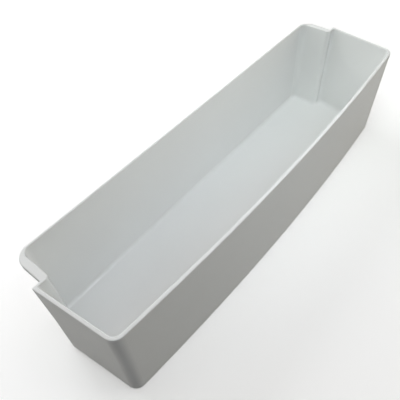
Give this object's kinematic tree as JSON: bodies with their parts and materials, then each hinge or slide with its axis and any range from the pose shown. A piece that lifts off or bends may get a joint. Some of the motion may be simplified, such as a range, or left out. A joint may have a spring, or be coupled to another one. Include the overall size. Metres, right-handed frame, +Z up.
{
  "type": "fridge door shelf",
  "caption": "Long open tub that hangs on a fridge door and holds bottles, with a bowed front, ends that taper to the front, notched back corners and turned-down hanging lips.",
  "frame": {"origin": "middle of the outline's box, on the plane of the underside", "axes": "+X along the length, +Y from the bowed front to the straight back that faces the door, +Z up out of the open top"},
  "size_m": [0.4396, 0.1194, 0.1065],
  "materials": {
    "white_plastic": "glossy opaque white moulded polystyrene"
  },
  "bodies": {
    "root": {"door_shelf": "white_plastic"}
  },
  "joints": []
}
